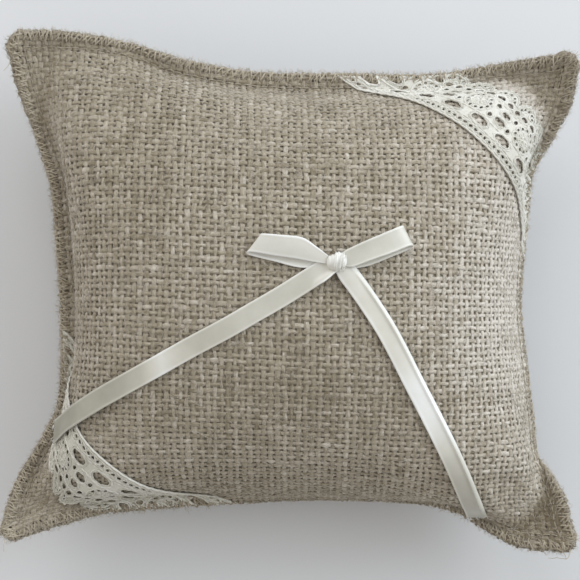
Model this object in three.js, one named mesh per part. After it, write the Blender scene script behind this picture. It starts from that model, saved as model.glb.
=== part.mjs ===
// Ring bearer pillow: a stuffed square of hessian with an overlocked margin, lace across two
// corners and a ribbon bow tied at the middle. Millimetres, +Z up, face up on a table at z = 0,
// +X to the right and +Y to the top of the pillow.
import * as THREE from 'three';

// Cloth and thread.
const GAP = 0.3; // clearance between pieces that touch
const PANEL = { width: 206, height: 187 }; // cut size of one hessian panel
const HESSIAN = 0.9; // thickness of the hessian
const MARGIN = 6; // sewing margin left outside the seam
const LACE = { width: 27, thickness: 0.6, clearance: 0.8 };
const RIBBON = { width: 7, thickness: 0.4, pinched: 4, clearance: 0.9 };
const SEAM_THREAD = 0.35; // radius of the seam threads
const OVERLOCK = { reach: 2.4, thread: 0.5, slack: 0.7 }; // reach in, thickness and gap to the cloth

// The stuffed shape.
const SEAM_HEIGHT = 27; // height of the side seam over the table
const CROWN = 38.5; // swell of the front above the seam
const BELLY = 42; // swell of the back below the seam, before the table flattens it
const SWELL_POWER = 2.8; // higher is flatter in the middle
const SWELL_FULLNESS = 0.62; // lower is steeper at the seam

// Outline of the margin seen from above, clockwise, one list for each side.
const TOP = [[-101.5, 90.5], [-86, 91.8], [-62, 89], [-38, 82.6], [-12, 78.6], [20, 78], [50, 78],
  [76, 81.4], [102.4, 84.6]];
const RIGHT = [[102.4, 84.6], [99.8, 67.6], [93.8, 54], [88.6, 43], [86.4, 31], [84.6, 16],
  [83.2, -6], [85.6, -30], [87.6, -48], [88.6, -60], [92.6, -63.6], [95.4, -68], [98, -75],
  [101, -92]];
const BOTTOM = [[101, -92], [87, -92], [79.2, -90.2], [70.4, -86.2], [61.8, -81.6], [53.7, -78.8],
  [42, -76.8], [12, -75.6], [-11, -76], [-37, -78.4], [-54, -79.6], [-67.5, -80.8], [-79, -83.4],
  [-90.7, -86], [-101, -88.8]];
const LEFT = [[-101, -88.8], [-100.3, -78.5], [-95.6, -67], [-91.2, -59.3], [-85.9, -49.4],
  [-81.9, -38.5], [-82.8, -10], [-84.4, 15], [-85.6, 36], [-90.5, 54], [-97, 74], [-101.5, 90.5]];

// How far the corners curl up, and how far from the corner of the cut panel the curl reaches.
const EAR = { lift: 13, reach: 24 };

// Distance from the corner, along both raw edges, at which each lace strip's inner edge starts.
const LACE_CUT = { upperRight: 79, lowerLeft: 78 };

// The bow, seen from above: its knot, the tips of its loops and the runs of its tails.
const KNOT = { x: 15.4, y: 9.4, length: 8.2, width: 6.8, height: 5.2, turn: 0.2 };
const LOOP_TIPS = { left: [-11.7, 15.7], right: [38.5, 18.1] };
const TAIL_LEFT = [[11.8, 7.1], [7, 4.1], [-3, -2.2], [-12, -7.4], [-21, -12.6], [-33, -19],
  [-44, -25.2], [-56, -31.9], [-66, -37.6], [-76, -44.2], [-84.2, -51]];
const TAIL_RIGHT = [[18.5, 6.2], [21.8, 2], [27, -5.4], [32, -13.2], [36.6, -21.6], [41.2, -30.6],
  [45.8, -39.2], [50.2, -47.6], [54.4, -55.8], [58.3, -64], [62.6, -73.4], [65.4, -79]];
const TAIL_HINGE = 5.6; // run of a tail that the knot holds down, before it is free
const LOOP = { low: 2.6, high: 5.6, arch: 2.2, tip: 1.6 }; // heights over the cloth
const TACK = { radius: 0.3, along: -0.4, reach: 4.6 };

const COLOURS = {
  hessian: 0xa2988a, filling: 0xf0eee8, thread: 0xb9ac97, lace: 0xe6e2d6, ribbon: 0xe9ebe6,
};
const UP = new THREE.Vector3(0, 0, 1);
const pillow = new THREE.Group();

function addPiece(name, geometry, colour, roughness) {
  const material = new THREE.MeshStandardMaterial({ color: colour, roughness, metalness: 0 });
  const mesh = new THREE.Mesh(geometry, material);
  mesh.name = name;
  pillow.add(mesh);
}

function sideCurve(points) {
  return new THREE.CatmullRomCurve3(points.map(([x, y]) => new THREE.Vector3(x, y, 0)));
}

const SIDES = {
  top: sideCurve(TOP), right: sideCurve(RIGHT), bottom: sideCurve(BOTTOM), left: sideCurve(LEFT),
};
const CORNERS = {
  topLeft: SIDES.top.getPoint(0),
  topRight: SIDES.right.getPoint(0),
  bottomRight: SIDES.bottom.getPoint(0),
  bottomLeft: SIDES.left.getPoint(0),
};

// Where a point of the flat panel lies in plan once the pillow is stuffed. across and along run
// from 0 at the lower left corner of the cut panel to 1 at the upper right corner.
function planPoint(across, along) {
  const point = SIDES.bottom.getPointAt(1 - across).multiplyScalar(1 - along);
  point.addScaledVector(SIDES.top.getPointAt(across), along);
  point.addScaledVector(SIDES.left.getPointAt(along), 1 - across);
  point.addScaledVector(SIDES.right.getPointAt(1 - along), across);
  point.addScaledVector(CORNERS.bottomLeft, -(1 - across) * (1 - along));
  point.addScaledVector(CORNERS.bottomRight, -across * (1 - along));
  point.addScaledVector(CORNERS.topLeft, -(1 - across) * along);
  point.addScaledVector(CORNERS.topRight, -across * along);
  return point;
}

// 0 at the middle of the body, 1 at its seam and more than 1 on the margin.
function bodyCoordinate(fraction, size) {
  return Math.abs(2 * fraction - 1) / (1 - 2 * MARGIN / size);
}

function swell(across, along) {
  const u = Math.min(bodyCoordinate(across, PANEL.width), 1);
  const v = Math.min(bodyCoordinate(along, PANEL.height), 1);
  return ((1 - u ** SWELL_POWER) * (1 - v ** SWELL_POWER)) ** SWELL_FULLNESS;
}

// Height of the layer between the two panels: level at the seam, curling up at the corners.
function seamHeight(across, along) {
  const fromSide = Math.min(across, 1 - across) * PANEL.width;
  const fromEnd = Math.min(along, 1 - along) * PANEL.height;
  const near = Math.max(1 - Math.hypot(fromSide, fromEnd) / EAR.reach, 0);
  return SEAM_HEIGHT + EAR.lift * near ** 2;
}

function frontPoint(across, along) {
  const point = planPoint(across, along);
  point.z = seamHeight(across, along) + GAP / 2 + HESSIAN + CROWN * swell(across, along);
  return point;
}

function backPoint(across, along) {
  const point = planPoint(across, along);
  const height = seamHeight(across, along) - GAP / 2 - HESSIAN - BELLY * swell(across, along);
  point.z = Math.max(height, 0);
  return point;
}

// Unit normal of a surface, pointing to the side where across turns anticlockwise into along.
function surfaceNormal(surface, across, along) {
  const step = 0.002;
  const alongAcross = surface(Math.min(across + step, 1), along);
  alongAcross.sub(surface(Math.max(across - step, 0), along));
  const alongAlong = surface(across, Math.min(along + step, 1));
  alongAlong.sub(surface(across, Math.max(along - step, 0)));
  return alongAcross.cross(alongAlong).normalize();
}

// A closed solid between an upper and a lower grid of points, joined round the rim.
function sheetGeometry(columns, rows, upper, lower) {
  const positions = [];
  for (const layer of [upper, lower]) {
    for (let row = 0; row <= rows; row += 1) {
      for (let column = 0; column <= columns; column += 1) {
        positions.push(...layer(column, row).toArray());
      }
    }
  }
  const layerSize = (columns + 1) * (rows + 1);
  const top = (column, row) => row * (columns + 1) + column;
  const under = (column, row) => layerSize + top(column, row);
  const indices = [];
  const quad = (a, b, c, d) => indices.push(a, b, c, a, c, d);
  for (let row = 0; row < rows; row += 1) {
    for (let column = 0; column < columns; column += 1) {
      quad(top(column, row), top(column + 1, row), top(column + 1, row + 1), top(column, row + 1));
      quad(under(column, row), under(column, row + 1), under(column + 1, row + 1),
        under(column + 1, row));
    }
  }
  for (let column = 0; column < columns; column += 1) {
    quad(under(column, 0), under(column + 1, 0), top(column + 1, 0), top(column, 0));
    quad(top(column, rows), top(column + 1, rows), under(column + 1, rows), under(column, rows));
  }
  for (let row = 0; row < rows; row += 1) {
    quad(top(0, row), top(0, row + 1), under(0, row + 1), under(0, row));
    quad(under(columns, row), under(columns, row + 1), top(columns, row + 1), top(columns, row));
  }
  const geometry = new THREE.BufferGeometry();
  geometry.setAttribute('position', new THREE.Float32BufferAttribute(positions, 3));
  geometry.setIndex(indices);
  geometry.computeVertexNormals();
  return geometry;
}

// A closed solid made by carrying a section along frames. Each frame has a centre, an out
// direction and an up direction, with out x up along the run. The section is anticlockwise.
function sweptGeometry(frames, sectionAt, isRing = false) {
  const positions = [];
  frames.forEach((frame, index) => {
    for (const [out, up] of sectionAt(index)) {
      const point = frame.centre.clone().addScaledVector(frame.out, out);
      positions.push(...point.addScaledVector(frame.up, up).toArray());
    }
  });
  const sides = sectionAt(0).length;
  const indices = [];
  const spans = isRing ? frames.length : frames.length - 1;
  for (let span = 0; span < spans; span += 1) {
    const start = span * sides;
    const end = ((span + 1) % frames.length) * sides;
    for (let side = 0; side < sides; side += 1) {
      const next = (side + 1) % sides;
      indices.push(start + side, start + next, end + next);
      indices.push(start + side, end + next, end + side);
    }
  }
  if (!isRing) {
    const contour = sectionAt(0).map(([out, up]) => new THREE.Vector2(out, up));
    const last = (frames.length - 1) * sides;
    for (const [a, b, c] of THREE.ShapeUtils.triangulateShape(contour, [])) {
      indices.push(a, c, b);
      indices.push(last + a, last + b, last + c);
    }
  }
  const geometry = new THREE.BufferGeometry();
  geometry.setAttribute('position', new THREE.Float32BufferAttribute(positions, 3));
  geometry.setIndex(indices);
  geometry.computeVertexNormals();
  return geometry;
}

function roundSection(radius, sides) {
  return Array.from({ length: sides }, (_, side) => {
    const angle = (2 * Math.PI * side) / sides;
    return [radius * Math.cos(angle), radius * Math.sin(angle)];
  });
}

// Grid lines of the body, closer together towards the seam where the cloth turns down.
function bodyStations(count, size) {
  return Array.from({ length: count + 1 }, (_, index) => {
    const u = Math.sin((Math.PI / 2) * ((2 * index) / count - 1));
    return 0.5 + 0.5 * u * (1 - 2 * MARGIN / size);
  });
}

const COLUMNS = bodyStations(20, PANEL.width);
const ROWS = bodyStations(18, PANEL.height);

function buildPanels() {
  const across = [0, ...COLUMNS, 1];
  const along = [0, ...ROWS, 1];
  const columns = across.length - 1;
  const rows = along.length - 1;
  const isBody = (column, row) => column > 1 && row > 1 && column < columns - 1 && row < rows - 1;
  const outer = (surface) => (column, row) => surface(across[column], along[row]);
  const inner = (surface, side) => (column, row) => {
    const point = surface(across[column], along[row]);
    const inwards = UP.clone().multiplyScalar(-side);
    if (isBody(column, row)) {
      const normal = surfaceNormal(surface, across[column], along[row]);
      inwards.copy(normal).multiplyScalar(-side);
    }
    return point.addScaledVector(inwards, HESSIAN);
  };
  addPiece('front_panel', sheetGeometry(columns, rows, outer(frontPoint), inner(frontPoint, 1)),
    COLOURS.hessian, 0.95);
  addPiece('back_panel', sheetGeometry(columns, rows, inner(backPoint, -1), outer(backPoint)),
    COLOURS.hessian, 0.95);
}

function buildFilling() {
  const across = COLUMNS.slice(2, -2);
  const along = ROWS.slice(2, -2);
  const packed = (surface, side) => (column, row) => {
    const normal = surfaceNormal(surface, across[column], along[row]);
    const point = surface(across[column], along[row]);
    return point.addScaledVector(normal, -side * (HESSIAN + GAP));
  };
  const geometry = sheetGeometry(across.length - 1, along.length - 1, packed(frontPoint, 1),
    packed(backPoint, -1));
  addPiece('fibre_filling', geometry, COLOURS.filling, 1);
}

// Frames along one side of the pillow, a set distance in from the raw edge, at the grid lines
// of the panels.
function marginFrames(side, inset) {
  const horizontal = side === 'top' || side === 'bottom';
  const size = horizontal ? PANEL.height : PANEL.width;
  const forwards = side === 'top' || side === 'left';
  const pointAt = (fraction, depth) => {
    const run = forwards ? fraction : 1 - fraction;
    const level = side === 'top' || side === 'right' ? 1 - depth / size : depth / size;
    const place = horizontal ? [run, level] : [level, run];
    const point = planPoint(...place);
    point.z = seamHeight(...place);
    return point;
  };
  const step = 0.002;
  const stations = (horizontal ? COLUMNS : ROWS).slice(1, -1);
  return stations.map((fraction) => {
    const centre = pointAt(fraction, inset);
    const direction = pointAt(Math.min(fraction + step, 1), inset);
    direction.sub(pointAt(Math.max(fraction - step, 0), inset)).normalize();
    const up = direction.clone().cross(centre.clone().sub(pointAt(fraction, inset + 1)));
    up.normalize();
    return { centre, out: up.clone().cross(direction), up };
  });
}

function buildSeamThreads() {
  const inset = MARGIN - 1;
  const upright = ({ centre, out }) => {
    return { centre, out: new THREE.Vector3(out.x, out.y, 0).normalize(), up: UP };
  };
  const frames = [];
  for (const side of ['top', 'right', 'bottom', 'left']) {
    frames.push(...marginFrames(side, inset).map(upright));
  }
  const offset = GAP / 2 + HESSIAN + GAP + SEAM_THREAD;
  for (const [name, height] of [['seam_thread_front', offset], ['seam_thread_back', -offset]]) {
    const section = roundSection(SEAM_THREAD, 5).map(([out, up]) => [out, up + height]);
    addPiece(name, sweptGeometry(frames, () => section, true), COLOURS.thread, 0.8);
  }
}

function buildOverlock() {
  const inside = GAP / 2 + HESSIAN + OVERLOCK.slack;
  const outside = inside + OVERLOCK.thread;
  const { reach, thread, slack } = OVERLOCK;
  const section = [[-reach, -outside], [slack + thread, -outside], [slack + thread, outside],
    [-reach, outside], [-reach, inside], [slack, inside], [slack, -inside], [-reach, -inside]];
  for (const side of ['top', 'right', 'bottom', 'left']) {
    const frames = marginFrames(side, 0);
    addPiece(`overlock_${side}`, sweptGeometry(frames, () => section), COLOURS.thread, 0.8);
  }
}

// A strip laid at 45 degrees across one corner of the flat panel and caught in both seams.
function buildLace(name, innerCut, isUpperRight) {
  const outerCut = innerCut - LACE.width * Math.SQRT2;
  const end = MARGIN + 0.6;
  const place = (column, row) => {
    const cut = outerCut + ((innerCut - outerCut) * row) / 4;
    const run = column / 20;
    const fromSide = end + (cut - 2 * end) * run;
    const fromTop = cut - fromSide;
    const across = fromSide / PANEL.width;
    const along = fromTop / PANEL.height;
    return isUpperRight ? [1 - across, 1 - along] : [across, along];
  };
  const raised = (height) => (column, row) => {
    const normal = surfaceNormal(frontPoint, ...place(column, row));
    return frontPoint(...place(column, row)).addScaledVector(normal, height);
  };
  const geometry = sheetGeometry(20, 4, raised(LACE.clearance + LACE.thickness),
    raised(LACE.clearance));
  addPiece(name, geometry, COLOURS.lace, 0.9);
}

// The part of the flat panel that lies under a point in plan, by Newton's method.
function panelPlace(x, y) {
  let across = 0.5 + x / PANEL.width;
  let along = 0.5 + y / PANEL.height;
  const step = 0.001;
  for (let round = 0; round < 8; round += 1) {
    const here = planPoint(across, along);
    const right = planPoint(across + step, along).sub(here).divideScalar(step);
    const above = planPoint(across, along + step).sub(here).divideScalar(step);
    const turn = right.x * above.y - right.y * above.x;
    const missX = x - here.x;
    const missY = y - here.y;
    across = THREE.MathUtils.clamp(across + (missX * above.y - missY * above.x) / turn, 0, 0.998);
    along = THREE.MathUtils.clamp(along + (missY * right.x - missX * right.y) / turn, 0, 0.998);
  }
  return [across, along];
}

// Height of the pillow's upper side in plan, with the overlocked margin and the lower left lace
// at their full height. A ribbon rises on to the lace over a short run.
function coverHeight(x, y) {
  const place = panelPlace(x, y);
  const onCloth = GAP / 2 + HESSIAN + OVERLOCK.slack + OVERLOCK.thread;
  const overlocked = seamHeight(...place) + onCloth;
  const cut = place[0] * PANEL.width + place[1] * PANEL.height;
  const offLace = THREE.MathUtils.smoothstep(cut, LACE_CUT.lowerLeft + 8, LACE_CUT.lowerLeft + 30);
  const lace = (1 - offLace) * (LACE.clearance + LACE.thickness + 2 * GAP);
  return Math.max(frontPoint(...place).z + lace, overlocked);
}

// Frames of a ribbon that lies along a plan route, tilted as the cloth under it is.
function ribbonFrames(route, steps) {
  const curve = new THREE.CatmullRomCurve3(route.map(([x, y]) => new THREE.Vector3(x, y, 0)));
  const half = RIBBON.width / 2;
  const centres = curve.getSpacedPoints(steps);
  const sideways = centres.map((_, index) => {
    return UP.clone().cross(curve.getTangentAt(index / steps)).normalize();
  });
  centres.forEach((centre, index) => {
    const left = centre.clone().addScaledVector(sideways[index], half);
    const right = centre.clone().addScaledVector(sideways[index], -half);
    left.z = coverHeight(left.x, left.y);
    right.z = coverHeight(right.x, right.y);
    centre.z = Math.max(coverHeight(centre.x, centre.y), (left.z + right.z) / 2);
    sideways[index] = left.sub(right).normalize();
  });
  return centres.map((centre, index) => {
    const before = centres[Math.max(index - 1, 0)];
    const after = centres[Math.min(index + 1, steps)];
    const direction = after.clone().sub(before).normalize();
    const up = direction.clone().cross(sideways[index]).normalize();
    const raised = centre.clone().addScaledVector(up, RIBBON.clearance);
    return { centre: raised, out: up.clone().cross(direction), up };
  });
}

function ribbonSection(width) {
  const half = RIBBON.thickness / 2;
  return [[-width / 2, -half], [width / 2, -half], [width / 2, half], [-width / 2, half]];
}

// A tail: a short pinched root that the knot holds down, then the free run.
function buildTail(side, route) {
  const steps = 48;
  const frames = ribbonFrames(route, steps);
  const spacing = frames[0].centre.distanceTo(frames[1].centre);
  const hinge = Math.ceil(TAIL_HINGE / spacing);
  const widthAt = (index) => {
    const opened = THREE.MathUtils.smoothstep(index, 0, hinge);
    return RIBBON.pinched + (RIBBON.width - RIBBON.pinched) * opened;
  };
  const root = frames.slice(0, hinge + 1);
  const free = frames.slice(hinge);
  const direction = free[1].centre.clone().sub(free[0].centre).normalize();
  free[0] = { ...free[0], centre: free[0].centre.clone().addScaledVector(direction, 2 * GAP) };
  addPiece(`tail_root_${side}`, sweptGeometry(root, (index) => ribbonSection(widthAt(index))),
    COLOURS.ribbon, 0.35);
  addPiece(`ribbon_tail_${side}`, sweptGeometry(free, () => ribbonSection(RIBBON.width)),
    COLOURS.ribbon, 0.35);
}

// A loop: out from the knot over the cloth, round its tip and back above itself.
function buildLoop(side, tip) {
  const knot = new THREE.Vector3(KNOT.x, KNOT.y, 0);
  const direction = new THREE.Vector3(...tip, 0).sub(knot);
  const reach = direction.length();
  direction.normalize();
  const start = KNOT.length / 2 + 0.8;
  const profile = [[start, LOOP.low], [reach * 0.45, LOOP.low], [reach * 0.8, LOOP.low],
    [reach - LOOP.tip / 2, (LOOP.low + LOOP.high) / 2 - 0.8], [reach, (LOOP.low + LOOP.high) / 2],
    [reach - LOOP.tip / 2, LOOP.high - 0.4], [reach * 0.8, LOOP.high + LOOP.arch / 2],
    [reach * 0.5, LOOP.high + LOOP.arch], [reach * 0.3, LOOP.high + LOOP.arch / 2],
    [start, LOOP.high - 1.2]];
  const base = coverHeight(KNOT.x, KNOT.y);
  const curve = new THREE.CatmullRomCurve3(profile.map(([run, height]) => {
    const point = knot.clone().addScaledVector(direction, run);
    point.z = base + height;
    return point;
  }));
  const out = UP.clone().cross(direction);
  const steps = 32;
  const frames = curve.getSpacedPoints(steps).map((centre, index) => {
    const along = curve.getTangentAt(index / steps);
    return { centre, out, up: along.cross(out) };
  });
  addPiece(`bow_loop_${side}`, sweptGeometry(frames, () => ribbonSection(RIBBON.width)),
    COLOURS.ribbon, 0.35);
}

function buildKnot() {
  const geometry = new THREE.SphereGeometry(1, 18, 12);
  geometry.rotateX(Math.PI / 2);
  geometry.scale(KNOT.length / 2, KNOT.width / 2, KNOT.height / 2);
  geometry.rotateZ(KNOT.turn);
  const base = coverHeight(KNOT.x, KNOT.y);
  geometry.translate(KNOT.x, KNOT.y, base + GAP + KNOT.height / 2);
  addPiece('bow_knot', geometry, COLOURS.ribbon, 0.35);
}

// The thread that ties the knot down: up from the cloth, over the knot and down again.
function buildTack() {
  const base = coverHeight(KNOT.x, KNOT.y);
  const over = KNOT.height + GAP + TACK.radius + GAP;
  const profile = [[-TACK.reach, 0.8], [-TACK.reach + 0.6, over * 0.55], [-1.8, over * 0.98],
    [0, over], [1.8, over * 0.98], [TACK.reach - 0.6, over * 0.55], [TACK.reach, 0.8]];
  const along = new THREE.Vector3(Math.cos(KNOT.turn), Math.sin(KNOT.turn), 0);
  const across = UP.clone().cross(along);
  const curve = new THREE.CatmullRomCurve3(profile.map(([run, height]) => {
    const point = new THREE.Vector3(KNOT.x, KNOT.y, base + height);
    return point.addScaledVector(along, TACK.along).addScaledVector(across, run);
  }));
  const steps = 24;
  const frames = curve.getSpacedPoints(steps).map((centre, index) => {
    const direction = curve.getTangentAt(index / steps);
    return { centre, out: along, up: direction.cross(along) };
  });
  const section = roundSection(TACK.radius, 6);
  addPiece('tack_thread', sweptGeometry(frames, () => section), COLOURS.thread, 0.8);
}

buildPanels();
buildFilling();
buildSeamThreads();
buildOverlock();
buildLace('lace_upper_right', LACE_CUT.upperRight, true);
buildLace('lace_lower_left', LACE_CUT.lowerLeft, false);
buildTail('left', TAIL_LEFT);
buildTail('right', TAIL_RIGHT);
buildLoop('left', LOOP_TIPS.left);
buildLoop('right', LOOP_TIPS.right);
buildKnot();
buildTack();

export default pillow;
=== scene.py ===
"""A small hessian ring bearer pillow, woven yarn by yarn, with lace corners and a satin bow."""

import math

import bpy
import numpy as np
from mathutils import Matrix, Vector
from mathutils.bvhtree import BVHTree


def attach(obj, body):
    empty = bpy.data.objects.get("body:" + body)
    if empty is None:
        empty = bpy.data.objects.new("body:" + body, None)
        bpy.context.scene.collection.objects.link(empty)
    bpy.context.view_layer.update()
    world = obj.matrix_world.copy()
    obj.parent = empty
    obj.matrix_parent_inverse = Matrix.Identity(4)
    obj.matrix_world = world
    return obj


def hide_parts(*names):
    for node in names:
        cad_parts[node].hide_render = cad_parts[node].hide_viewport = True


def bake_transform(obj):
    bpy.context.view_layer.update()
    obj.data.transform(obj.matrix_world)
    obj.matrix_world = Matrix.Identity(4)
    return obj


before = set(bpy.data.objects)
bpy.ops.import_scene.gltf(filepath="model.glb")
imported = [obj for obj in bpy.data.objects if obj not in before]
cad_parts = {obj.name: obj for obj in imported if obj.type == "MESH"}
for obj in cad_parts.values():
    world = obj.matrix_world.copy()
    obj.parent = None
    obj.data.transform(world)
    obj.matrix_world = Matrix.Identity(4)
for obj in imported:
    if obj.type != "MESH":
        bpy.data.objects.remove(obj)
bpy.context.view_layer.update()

# ---------------- camera
FIELD = math.radians(21.9)
CAMERA_HEIGHT = 0.567

scene = bpy.context.scene
lens = bpy.data.cameras.new("view")
lens.sensor_width = 36
lens.lens = 18 / math.tan(FIELD / 2)
camera = bpy.data.objects.new("view", lens)
camera.location = (0, 0, CAMERA_HEIGHT)
scene.collection.objects.link(camera)
scene.camera = camera

# ---------------- sizes, in millimetres
MM = 0.001
WIDE, HIGH = 206.0, 187.0  # the cut panels
MARGIN = 6.0  # from the seam to the raw edge
THREAD_ROOM = 0.8  # the overlock reaches this far past the raw edge
SEAM_HEIGHT = 27.0  # the seam above the floor
EAR_LIFT, EAR_REACH = 15.0, 46.0  # the margin curls up towards the corners
CORNER = 7.0  # the cut panels' rounded corners
WARP_PITCH, WEFT_PITCH = 2.30, 2.06
YARN_THICK = 0.32  # half of a yarn's height
CLOTH_MID = 0.8  # the middle of the cloth, above the simulated sheet
CLOTH_TOP = 1.6  # the tops of the yarns
RIBBON_HALF = 3.5
KNOT = (15.4, 9.4)
SIDES = {"top": WIDE, "right": HIGH, "bottom": WIDE, "left": HIGH}
# the outline from tip to tip, clockwise from the upper left one, and the ribbon tails' routes, in plan
TOP = [(-100.8, 90.4), (-87, 92.8), (-62, 90.3), (-38, 83.1), (-12, 78.6), (20, 78), (50, 78)]
TOP += [(76, 81.4), (102.4, 84.6)]
RIGHT = [TOP[-1], (101, 67.5), (94.7, 53.8), (88.6, 43), (86.4, 31), (84.6, 16), (83.2, -6)]
RIGHT += [(85.6, -30), (87.6, -48), (88.6, -60), (92.6, -63.6), (95.4, -68), (98.8, -75), (101.8, -92.3)]
BOTTOM = [RIGHT[-1], (87, -92.8), (79.2, -91.3), (70.4, -86.9), (61.8, -81.4), (53.7, -78.2), (42, -76)]
BOTTOM += [(12, -75), (-11, -75.7), (-37, -78.4), (-54, -79.6), (-67.5, -80.8), (-79, -83.4)]
BOTTOM += [(-90.7, -86.6), (-102, -89.8)]
LEFT = [BOTTOM[-1], (-101.5, -78.5), (-97.8, -67.4), (-93.4, -59.7), (-88, -49.8), (-83.2, -38.5)]
LEFT += [(-82.8, -10), (-84.4, 15), (-86.2, 36), (-91.6, 54.3), (-97.9, 74.2), TOP[0]]
TAIL_LEFT = [(14.4, 8.8), (11.8, 7.1), (7, 4.1), (-3, -2.2), (-12, -7.4), (-21, -12.6), (-33, -19)]
TAIL_LEFT += [(-44, -25.2), (-56, -31.9), (-66, -37.6), (-76, -44.2), (-84.2, -51)]
TAIL_RIGHT = [(16.6, 9.0), (18.5, 6.2), (21.8, 2), (27, -5.4), (32, -13.2), (36.6, -21.6), (41.2, -30.6)]
TAIL_RIGHT += [(45.8, -39.2), (50.2, -47.6), (54.4, -55.8), (58.3, -64), (62.6, -73.4), (66.6, -81.6)]


def smooth(x, low, high):
    t = np.clip((x - low) / (high - low), 0, 1)
    return t * t * (3 - 2 * t)


def unit(w):
    return w / (np.linalg.norm(w, axis=-1, keepdims=True) + 1e-12)


def rounded(points, per=40):
    """A smooth curve through the points, any number of columns."""
    p = np.array(points, float)
    q = np.vstack([2 * p[0] - p[1], p, 2 * p[-1] - p[-2]])
    t = np.linspace(0, 1, per, endpoint=False)[:, None]
    out = []
    for k in range(len(p) - 1):
        a, b, c, d = q[k : k + 4]
        bend, twist = 2 * a - 5 * b + 4 * c - d, 3 * b - a - 3 * c + d
        out.append(0.5 * (2 * b + (c - a) * t + bend * t**2 + twist * t**3))
    return np.vstack(out + [p[-1:]])


def lengths(line):
    return np.concatenate([[0], np.cumsum(np.linalg.norm(np.diff(line, axis=0), axis=1))])


def read_off(line, s, at):
    """The line's columns, known at s, read off at other places along it."""
    return np.stack([np.interp(at, s, column) for column in line.T], -1)


def spaced(line, count):
    """The line again with evenly spaced points."""
    s = lengths(line)
    return read_off(line, s, np.linspace(0, s[-1], count))


def side_curve(points):
    line = rounded(points)
    s = lengths(line) / lengths(line)[-1]
    return lambda u: read_off(line, s, u)


top_side, right_side, bottom_side, left_side = map(side_curve, (TOP, RIGHT, BOTTOM, LEFT))


# ---------------- cushion simulation
CELLS_X, CELLS_Y = 80, 72
PRESSURE, LOWER_PRESSURE = 0.002, 0.6  # the filling's push, and how much stronger it is low down
DAMPING, TOP_SPEED = 0.9, 1.5
WEIGHT, HANGING_WEIGHT = 0.0008, 0.02
PULLS = 6  # rounds of thread tension in each step
HEIGHT_GRIP, OUTLINE_GRIP = 0.06, 0.10  # how firmly each round brings the margin to its place
SMOOTHINGS = 14  # at the end, near the corners
START_HEIGHT, START_UP, START_DOWN = 26.0, 38.0, 30.0


def thread_lines(span, cells):
    """The grid's lines across one panel: even cells, with a margin of two lines on either side."""
    cloth = np.linspace(MARGIN, span - MARGIN, cells + 1)
    return np.concatenate([[0, MARGIN / 2], cloth, [span - MARGIN / 2, span]])


A_LINES, B_LINES = thread_lines(WIDE, CELLS_X), thread_lines(HIGH, CELLS_Y)
NX, NY = len(A_LINES), len(B_LINES)


def plan(u, v):
    """The outline's Coons patch: a flat panel's place in plan."""
    tl, tr, br, bl = (np.array(c, float) for c in (TOP[0], RIGHT[0], BOTTOM[0], LEFT[0]))
    uu, vv = u[..., None], v[..., None]
    across = (1 - vv) * bottom_side(1 - u) + vv * top_side(u)
    along = (1 - uu) * left_side(v) + uu * right_side(1 - v)
    corners = (1 - uu) * (1 - vv) * bl + uu * (1 - vv) * br + (1 - uu) * vv * tl + uu * vv * tr
    return across + along - corners


def ring(n):
    mask = np.zeros((NY, NX), bool)
    mask[n : NY - n, n : NX - n] = True
    mask[n + 1 : NY - n - 1, n + 1 : NX - n - 1] = False
    return mask


def margin_targets(u, v, fold):
    """Where the margin's three rings go in plan, drawn together at the outline where it hangs."""
    eps = 1e-3
    nearest = np.stack([v * HIGH, (1 - v) * HIGH, u * WIDE, (1 - u) * WIDE]).argmin(0)
    cu = unit(plan(np.clip(u + eps, 0, 1), v) - plan(np.clip(u - eps, 0, 1), v))
    cv = unit(plan(u, np.clip(v + eps, 0, 1)) - plan(u, np.clip(v - eps, 0, 1)))
    down = np.stack([cu[..., 1], -cu[..., 0]], -1)
    left = np.stack([-cv[..., 1], cv[..., 0]], -1)
    out = np.select([(nearest == k)[..., None] for k in range(4)], [down, -down, left, -left])
    edge_u = np.select([nearest == 2, nearest == 3], [0, 1], u)
    edge_v = np.select([nearest == 0, nearest == 1], [0, 1], v)
    inset = np.full((NY, NX), THREAD_ROOM)
    inset[ring(1)] += MARGIN / 2
    inset[ring(2)] += MARGIN
    target = plan(edge_u, edge_v) - out * (inset * (1 - fold))[..., None]
    near = MARGIN * 1.01
    corner = (np.minimum(u, 1 - u) * WIDE < near) & (np.minimum(v, 1 - v) * HIGH < near)
    target[corner] = plan(u, v)[corner]
    return target


def pull(x, first, second, rest, stretch, squeeze):
    """Brings pairs of points towards their rest distance."""
    p, q = x[first], x[second]
    d = q - p
    size = np.sqrt((d * d).sum(-1)) + 1e-9
    c = (size - rest) / size
    c = np.where(c > 0, stretch * c, squeeze * c)
    d *= 0.5 * c[..., None]
    x[first] += d
    x[second] -= d


def straight_bonds(gap, stretch, squeeze):
    """Pairs of neighbouring points, gap lines apart along the threads, that don't share a point."""
    every = slice(None)
    for k in range(2 * gap):
        near, far = slice(k, -gap, 2 * gap), slice(k + gap, None, 2 * gap)
        rest = (A_LINES[far] - A_LINES[near])[None, None]
        yield (every, every, near), (every, every, far), rest, stretch, squeeze
        rest = (B_LINES[far] - B_LINES[near])[None, :, None]
        yield (every, near), (every, far), rest, stretch, squeeze


def slant_bonds(grip):
    """Pairs of points across each cell's two diagonals."""
    every, left, right = slice(None), slice(0, -1), slice(1, None)
    rest = np.sqrt(np.diff(A_LINES)[None, :] ** 2 + np.diff(B_LINES)[:, None] ** 2)
    for k in (0, 1):
        low, high = slice(k, -1, 2), slice(k + 1, None, 2)
        yield (every, low, left), (every, high, right), rest[None, k::2], grip, grip
        yield (every, low, right), (every, high, left), rest[None, k::2], grip, grip


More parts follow.
